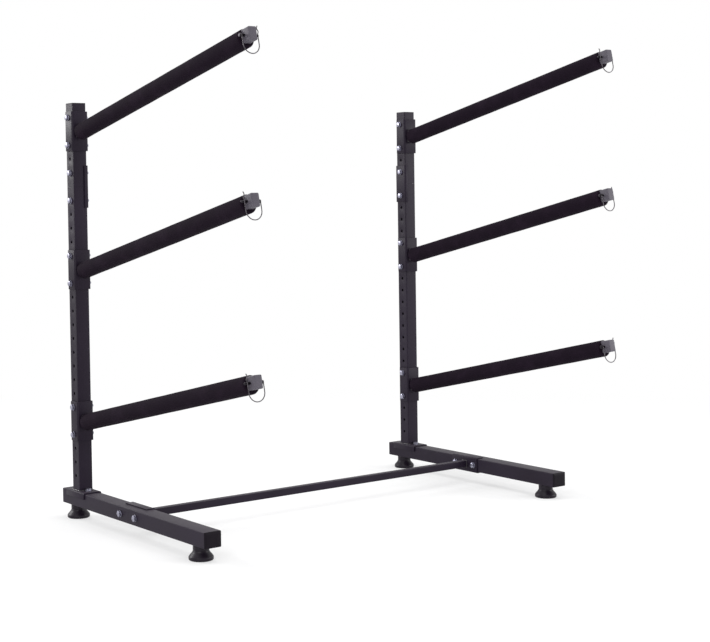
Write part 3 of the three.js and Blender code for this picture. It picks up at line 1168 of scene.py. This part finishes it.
@dataclass(frozen=True)
class Crossbar:
    """The crossbar with the clamps at its ends, their welds and their bolts."""

    bolt: HexBolt = HexBolt()
    bar: Bar = Bar(0.025, 0.025, 0.003)
    foot: Bar = Bar(0.0254, 0.0254, 0.003)
    bead: float = 0.0019
    wall: float = 0.002
    bite: float = 0.0005
    clamp_face: float = 0.0338
    base_face: float = 0.0303
    bolt_span: float = 0.096
    clamp_inside: float = 0.0506
    clamp_length: float = 0.134
    clamp_flange: float = 0.029

    def build(self) -> None:
        """Makes the crossbar's pieces."""
        place = middle_of("crossbar")
        bases = {column: middle_of(f"base_tube_{column.label}").x for column in Column}
        self.steel(bases, place.y, place.z)
        for column, x in bases.items():
            bead = self.foot.weld(self.bead)
            bead = bead.seated(across(x + column.value * self.clamp_face, place.y, place.z))
            bead.piece(f"crossbar_weld_{column.label}", "frame", WELD)
            head_side = self.base_face if column is Column.LEFT else self.clamp_face
            grip = self.base_face + self.clamp_face
            bolts = Shell()
            for offset in (self.bolt_span / 2, -self.bolt_span / 2):
                seat = across(x - head_side, place.y + offset, place.z)
                bolts.add(self.bolt.shell(grip).seated(seat))
            bolts.piece(f"clamp_bolts_{column.label}", "frame", ZINC)

    def steel(self, bases: dict[Column, float], y: float, z: float) -> None:
        """The tube and its two clamp channels, which are one weldment.

        Args:
            bases: The middle of each floor base along X.
            y: The bar's place along Y.
            z: Its height.
        """
        end, half = self.clamp_face - self.bite, self.clamp_length / 2
        tube = self.bar.tube(self.wall, bases[Column.LEFT] + end, bases[Column.RIGHT] - end)
        whole = tube.seated(across(0, y, z))
        plate = self.clamp_face - self.base_face
        for column, x in bases.items():
            inward = column.value
            clamp = channel(self.clamp_inside, self.clamp_flange, plate, -half, half)
            web = (x + inward * self.clamp_face, y, z)
            whole.add(clamp.seated(Seat(web, (0, 0, -inward), (-inward, 0, 0), (0, 1, 0))))
        whole.piece("welded_crossbar", "frame", COAT, ("crossbar",))


# The arms

@dataclass(frozen=True)
class Arm:
    """One padded arm, with its bolts, sleeve, end cap, lock pin and the pin's wire."""

    column: Column
    level: Level
    bolt: HexBolt = HexBolt()
    bar: Bar = Bar(0.025, 0.038, 0.003)
    cap: Bar = Bar(0.0284, 0.0414, 0.0042, least_corner=0.0012)
    tilt: float = math.radians(12.5)
    reach: float = 1.062
    stub: float = 0.036
    wall: float = 0.002
    bite: float = 0.0005
    bracket_inside: float = 0.051
    bracket_leg: float = 0.043
    bracket_plate: float = 0.005
    bracket_half: float = 0.067
    bracket_face: float = 0.0305
    bead: float = 0.0034
    bead_gap: float = 0.0004
    bolt_half: float = 0.0308
    cap_face: float = 0.0033
    cap_wall: float = 0.0012
    sleeve_radius: float = 0.0285
    sleeve_drop: float = 0.004
    sleeve_round: float = 0.0055
    sleeve_gap: float = 0.0003
    clearance: float = 0.0005
    sleeve_wave: float = 0.012
    bore_gap: float = 0.0008
    bore_corner: float = 0.0034
    pin_setback: float = 0.012
    pin_span: float = 0.055
    pin_head: float = 0.0055
    wire: float = 0.0015
    wire_drop: float = 0.028

    @property
    def label(self) -> str:
        """The arm's name within the names of its pieces."""
        return f"{self.column.label}_{self.level.label}"

    @property
    def body(self) -> str:
        """The body that the arm rides on. The top arms are fixed to the posts."""
        return "frame" if self.level is Level.TOP else f"arm_{self.label}_body"

    @property
    def pin_side(self) -> int:
        """1 where the pin's head is at -X, and -1 where it is at +X."""
        outward = -self.column.value
        return -outward if self.level is Level.TOP else outward

    def seat(self, along: float = 0.0) -> Seat:
        """A seat on the arm's middle line, its z axis along the arm and its y axis up from it.

        The line starts on the bracket's face, halfway between the bolts. It runs along
        (0, -cos tilt, sin tilt), and (0, sin tilt, cos tilt) is up from it.

        Args:
            along: The distance from the line's start.

        Returns:
            The seat.
        """
        lower, upper = (middle_of(f"arm_bolt_{self.label}_{place}") for place in ("lower", "upper"))
        x = middle_of(f"arm_{self.label}").x
        root = np.array([x, lower.y - self.bracket_face, (lower.z + upper.z) / 2])
        out = np.array([0.0, -math.cos(self.tilt), math.sin(self.tilt)])
        up = np.array([0.0, math.sin(self.tilt), math.cos(self.tilt)])
        return Seat(tuple(root + along * out), (1, 0, 0), tuple(up), tuple(out))

    def build(self) -> None:
        """Makes the arm's pieces."""
        self.steel()
        self.root_weld()
        self.bolts()
        self.sleeve()
        self.end_cap()
        self.lock_pin()
        self.lock_wire()

    def steel(self) -> None:
        """The bent bracket and the tilted tube that starts on its face, which are one weldment."""
        half = self.bracket_half
        bracket = channel(self.bracket_inside, self.bracket_leg, self.bracket_plate, -half, half)
        tube = self.bar.tube(self.wall, -self.bite, self.reach - self.cap_face, math.tan(self.tilt))
        whole = bracket.seated(Seat(self.seat().origin)).add(tube.seated(self.seat()))
        whole.piece(f"welded_arm_{self.label}", self.body, COAT, (f"arm_{self.label}",))

    def root_weld(self) -> None:
        """The bead where the tilted tube meets the bracket's upright face."""
        stretch = self.bar.height / math.cos(self.tilt)
        foot = Bar(self.bar.width + self.bead_gap, stretch + self.bead_gap, self.bar.corner)
        seat = Seat(self.seat().origin, (1, 0, 0), (0, 0, 1), (0, -1, 0))
        bead = foot.weld(self.bead).seated(seat)
        bead.piece(f"arm_root_weld_{self.label}", self.body, WELD)

    def bolts(self) -> None:
        """The two bolts through the bracket and the post."""
        for place in ("lower", "upper"):
            node = f"arm_bolt_{self.label}_{place}"
            middle = middle_of(node)
            seat = across(self.seat().origin[0] - self.bolt_half, middle.y, middle.z)
            bolt = self.bolt.shell(2 * self.bolt_half).seated(seat)
            bolt.piece(f"bracket_bolt_{self.label}_{place}", self.body, ZINC, (node,))

    def sleeve(self) -> None:
        """The foam sleeve: a slightly wavy round outside, soft ends, and a bore that hugs the tube.

        The outside's radius is
        sleeve_radius * (1 - sleeve_wave * (2 + sin(7 u + 3 sin a) + sin(2 a + 5 u)) / 4),
        where u runs along the arm in radians and a around it. It starts where its lower side
        just clears the bracket's upright face.
        """
        lean = (self.sleeve_radius - self.sleeve_drop) * math.sin(self.tilt)
        start = (lean + self.sleeve_gap) / math.cos(self.tilt) + self.clearance
        end = self.reach - self.stub
        turn = np.linspace(0, math.pi / 2, 7)
        inset = self.sleeve_round * (1 - np.sin(turn))
        depth = self.sleeve_round * (1 - np.cos(turn))
        inner = np.linspace(start + self.sleeve_round, end - self.sleeve_round, 64)[1:-1]
        along = np.concatenate([start + depth, inner, (end - depth)[::-1]])[:, None]
        shrink = np.concatenate([inset, np.zeros(len(inner)), inset[::-1]])[:, None]
        steps = 15
        outline = rounded_rectangle(2.0, 2.0, 1.0, steps)
        angle = np.arctan2(outline[:, 1], outline[:, 0])[None, :]
        run = along * 2 * math.pi
        wave = (2 + np.sin(7 * run + 3 * np.sin(angle)) + np.sin(2 * angle + 5 * run)) / 4
        radius = self.sleeve_radius * (1 - self.sleeve_wave * wave) - shrink
        outside = np.stack([
            radius * outline[:, 0], radius * outline[:, 1] - self.sleeve_drop,
            np.broadcast_to(along, radius.shape),
        ], -1)
        width, height = self.bar.width + self.bore_gap, self.bar.height + self.bore_gap
        bore = rounded_rectangle(width, height, self.bore_corner, steps)
        mouth = 0.0004
        inside = [raised(bore, z) for z in (end - mouth, start + mouth)]
        shell = Shell().loft([*outside, *inside], closed=True).seated(self.seat())
        node = f"foam_sleeve_{self.label}"
        made = shell.piece(f"padded_sleeve_{self.label}", self.body, FOAM, (node,), 60.0)

    def end_cap(self) -> None:
        """The moulded cap over the tube's end, with a softened face and a collar at its mouth."""
        start, end = self.reach - self.stub + self.sleeve_gap, self.reach
        shell = self.cap.loft([
            (self.cap_wall, end - 0.003), (self.cap_wall, start), (0.0003, start),
            (0.0, start + 0.0004), (0.0, start + 0.0040), (0.0005, start + 0.0045),
            (0.0005, end - 0.0022), (0.0008, end - 0.0010), (0.0015, end - 0.0003),
            (0.0026, end), (0.0080, end),
        ])
        node = f"arm_end_cap_{self.label}"
        shell.seated(self.seat()).piece(f"tube_cap_{self.label}", self.body, GREY_PLASTIC, (node,))

    def pin_seat(self) -> Seat:
        """The arm's seat at the pin's middle."""
        return self.seat(self.reach - self.stub + self.pin_setback)

    def lock_pin(self) -> None:
        """The pin: a knobbed head with softened edges, a shank, a clip groove and a tapered tip.

        It lies across the arm, with its own z axis from its head to its tip.
        """
        half, head = self.pin_span / 2, self.pin_head
        shell = Shell().loft(turned([
            (head * 0.55, -half - 0.0045), (head * 0.86, -half - 0.0044), (head, -half - 0.0036),
            (head, -half + 0.0037), (head * 0.92, -half + 0.0045), (0.0040, -half + 0.0045),
            (0.0040, half - 0.0027), (0.0032, half - 0.0023), (0.0031, half),
            (0.0032, half + 0.0023), (0.0039, half + 0.0027), (0.0037, half + 0.0048),
            (0.0029, half + 0.0065), (0.0016, half + 0.0070),
        ], 32))
        middle = self.pin_seat()
        back = tuple(-self.pin_side * v for v in middle.z)
        shell = shell.seated(Seat(middle.origin, middle.y, back, (self.pin_side, 0, 0)))
        shell.piece(f"locking_pin_{self.label}", self.body, PIN, (f"lock_pin_{self.label}",))

    def wire_path(self) -> Array:
        """The wire's line about the pin's middle: out of the eye, round the arm and up in an S.

        Returns:
            Points of (from head to tip, along the arm, up from the arm).
        """
        half = self.pin_span / 2
        front = self.pin_head + self.wire + self.clearance
        eye = [
            [-half, -0.0075, 0.0], [-half, 0.0, 0.0], [-half, front - 0.0022, 0.0],
            [-half, front - 0.0006, -0.0008], [-half, front, -0.0030],
        ]
        arc = half * around(np.linspace(math.pi, 2 * math.pi, 13))
        arch = np.column_stack([arc[:, 0], np.full(len(arc), front), arc[:, 1] - self.wire_drop])
        tail = [
            [half, front, 0.0008], [half + 0.0024, front, 0.0105],
            [half - 0.0015, front, 0.0195], [half + 0.0014, front, 0.0276],
        ]
        return smooth_path(np.vstack([eye, arch, tail]), 7)

    def lock_wire(self) -> None:
        """The wire: a round section carried along its path.

        The path bends in two planes, so each section's first axis is square to a
        direction that no stretch of the path follows.
        """
        path = self.wire_path()
        tangent = unit(np.gradient(path, axis=0))
        first = unit(np.cross(tangent, [0.35, 0.75, 0.56]))
        size = np.full(len(path), self.wire)
        size[[0, -1]] *= 0.7
        rows = path[:, None] + round_sections(size, first, np.cross(tangent, first), 14)
        middle = self.pin_seat()
        seat = Seat(middle.origin, (self.pin_side, 0, 0), middle.z, middle.y)
        shell = Shell().loft(rows).seated(seat)
        node = f"lock_wire_{self.label}"
        shell.piece(f"retaining_wire_{self.label}", f"{node}_body", WIRE, (node,))


# The studio

@dataclass(frozen=True)
class Softbox:
    """A square lamp that faces a point."""

    name: str
    place: Triple
    size: float
    watts: float
    target: Triple = (0.0, 0.0, 0.7)

    def build(self) -> None:
        """Makes the lamp."""
        lamp = bpy.data.lights.new(self.name, "AREA")
        lamp.size = self.size
        lamp.energy = self.watts
        made = bpy.data.objects.new(self.name, lamp)
        made.location = self.place
        direction = Vector(self.target) - Vector(self.place)
        made.rotation_euler = direction.to_track_quat("-Z", "Y").to_euler()
        bpy.context.scene.collection.objects.link(made)


@dataclass(frozen=True)
class Studio:
    """A white floor that runs out into a white background, and soft lamps."""

    fill: float = 0.62
    glow: float = 0.45
    lamps: tuple[Softbox, ...] = (
        Softbox("rear_left_softbox", (-3.0, 4.4, 2.5), 1.8, 140.0, (-0.4, 0.3, 1.4)),
        Softbox("left_softbox", (-4.6, -2.6, 1.9), 1.8, 70.0, (-0.2, 0.4, 1.0)),
        Softbox("top_softbox", (0.4, -0.6, 4.4), 4.4, 90.0),
        Softbox("front_right_softbox", (4.4, -3.5, 1.7), 1.6, 112.0, (0.6, 0.3, 0.9)),
    )
    floor_drop: float = 0.0006
    floor_radii: tuple[float, float, int] = (0.5, 9.0, 18)

    def seen(self, graph: Graph) -> Signal:
        """Tells the rays from the camera, from gloss and through glass from the rest.

        Args:
            graph: The nodes that need it.

        Returns:
            1 for these rays, and 0 for the rest.
        """
        kinds = ("Camera", "Glossy", "Transmission")
        camera, glossy, through = (
            graph.node("ShaderNodeLightPath", output=f"Is {kind} Ray") for kind in kinds
        )
        return camera.math("ADD", camera + glossy, through, clamp=True)

    def backdrop(self) -> None:
        """The world: white where it is seen, and a weaker even light elsewhere."""
        world = bpy.data.worlds.new("white_room")
        bpy.context.scene.world = world
        graph = Graph(world)
        strength = self.fill + (1 - self.fill) * self.seen(graph)
        light = graph.node("ShaderNodeBackground", inputs={"Color": WHITE, "Strength": strength})
        graph.node("ShaderNodeOutputWorld", inputs={"Surface": light})

    def floor_material(self) -> bpy.types.Material:
        """White that keeps shadows near the stand and fades out into the background.

        Returns:
            The material.
        """
        material = bpy.data.materials.new("white_floor")
        graph = Graph(material)
        distance = graph.node(
            "ShaderNodeVectorMath", {"operation": "LENGTH"}, {0: graph.place()}, output="Value"
        )
        far = (self.glow + (1 - self.glow) * distance.step(1.7, 3.6)) * self.seen(graph)
        colour = graph.blend(graph.noise(3.0, 3.0), (0.95, 0.95, 0.955, 1), (0.97, 0.97, 0.975, 1))
        matt = graph.node("ShaderNodeBsdfDiffuse", inputs={"Color": colour})
        white = graph.node("ShaderNodeEmission", inputs={"Color": WHITE, "Strength": 1.0})
        mixed = graph.node("ShaderNodeMixShader", inputs={0: far, 1: matt, 2: white})
        graph.node("ShaderNodeOutputMaterial", inputs={"Surface": mixed})
        return material

    def floor(self) -> None:
        """A round floor: a disc of rings, just under the feet."""
        radii = (0.0, *np.linspace(*self.floor_radii))
        rings = turned([(radius, -self.floor_drop) for radius in radii], 96)
        mesh = Shell().grid(np.stack(rings)).mesh("floor")
        mesh.materials.append(self.floor_material())
        made = bpy.data.objects.new("floor", mesh)
        bpy.context.scene.collection.objects.link(made)
        made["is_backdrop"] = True

    def build(self) -> None:
        """Makes the studio."""
        self.backdrop()
        self.floor()
        for lamp in self.lamps:
            lamp.build()
        bpy.context.scene.view_settings.view_transform = "Standard"


@dataclass(frozen=True)
class Viewpoint:
    """The camera, where the photograph was taken from."""

    place: Triple = (-3.1392, -4.0380, 1.0872)
    azimuth: float = math.radians(-35.47)
    pitch: float = math.radians(1.64)
    roll: float = math.radians(-0.89)
    focal_pixels: float = 1489.04
    picture: tuple[int, int] = (710, 642)
    axis_pixel: tuple[float, float] = (275.0, 241.0)

    def build(self) -> None:
        """Makes the camera: its focal length and shift come from the picture's own pixels."""
        camera = bpy.data.cameras.new("camera")
        width, height = self.picture
        camera.sensor_fit = "HORIZONTAL"
        camera.sensor_width = 36.0
        camera.lens = self.focal_pixels / width * camera.sensor_width
        camera.shift_x = (width / 2 - self.axis_pixel[0]) / width
        camera.shift_y = (self.axis_pixel[1] - height / 2) / width
        camera.clip_end = 60.0
        turns = ((self.azimuth, "Z"), (math.pi / 2 - self.pitch, "X"), (self.roll, "Z"))
        azimuth, tilt, roll = (Matrix.Rotation(angle, 4, axis) for angle, axis in turns)
        made = bpy.data.objects.new("camera", camera)
        made.matrix_world = Matrix.Translation(self.place) @ azimuth @ tilt @ roll
        bpy.context.scene.collection.objects.link(made)
        bpy.context.scene.camera = made


def corners(box: Any) -> list[list[float]]:
    """A box's two corners as plain numbers."""
    return [[float(v) for v in corner] for corner in box]


def main() -> None:
    """Builds the camera, the studio and the stand."""
    logging.basicConfig(level=logging.INFO, format="%(name)s: %(message)s")
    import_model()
    solid_box = corners(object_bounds())
    Viewpoint().build()
    Studio().build()
    for column in Column:
        FloorBase(column).build()
        Post(column).build()
        for level in Level:
            Arm(column, level).build()
    Crossbar().build()
    {"cad": solid_box, "visual": corners(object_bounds())}


if __name__ == "__main__":
    main()
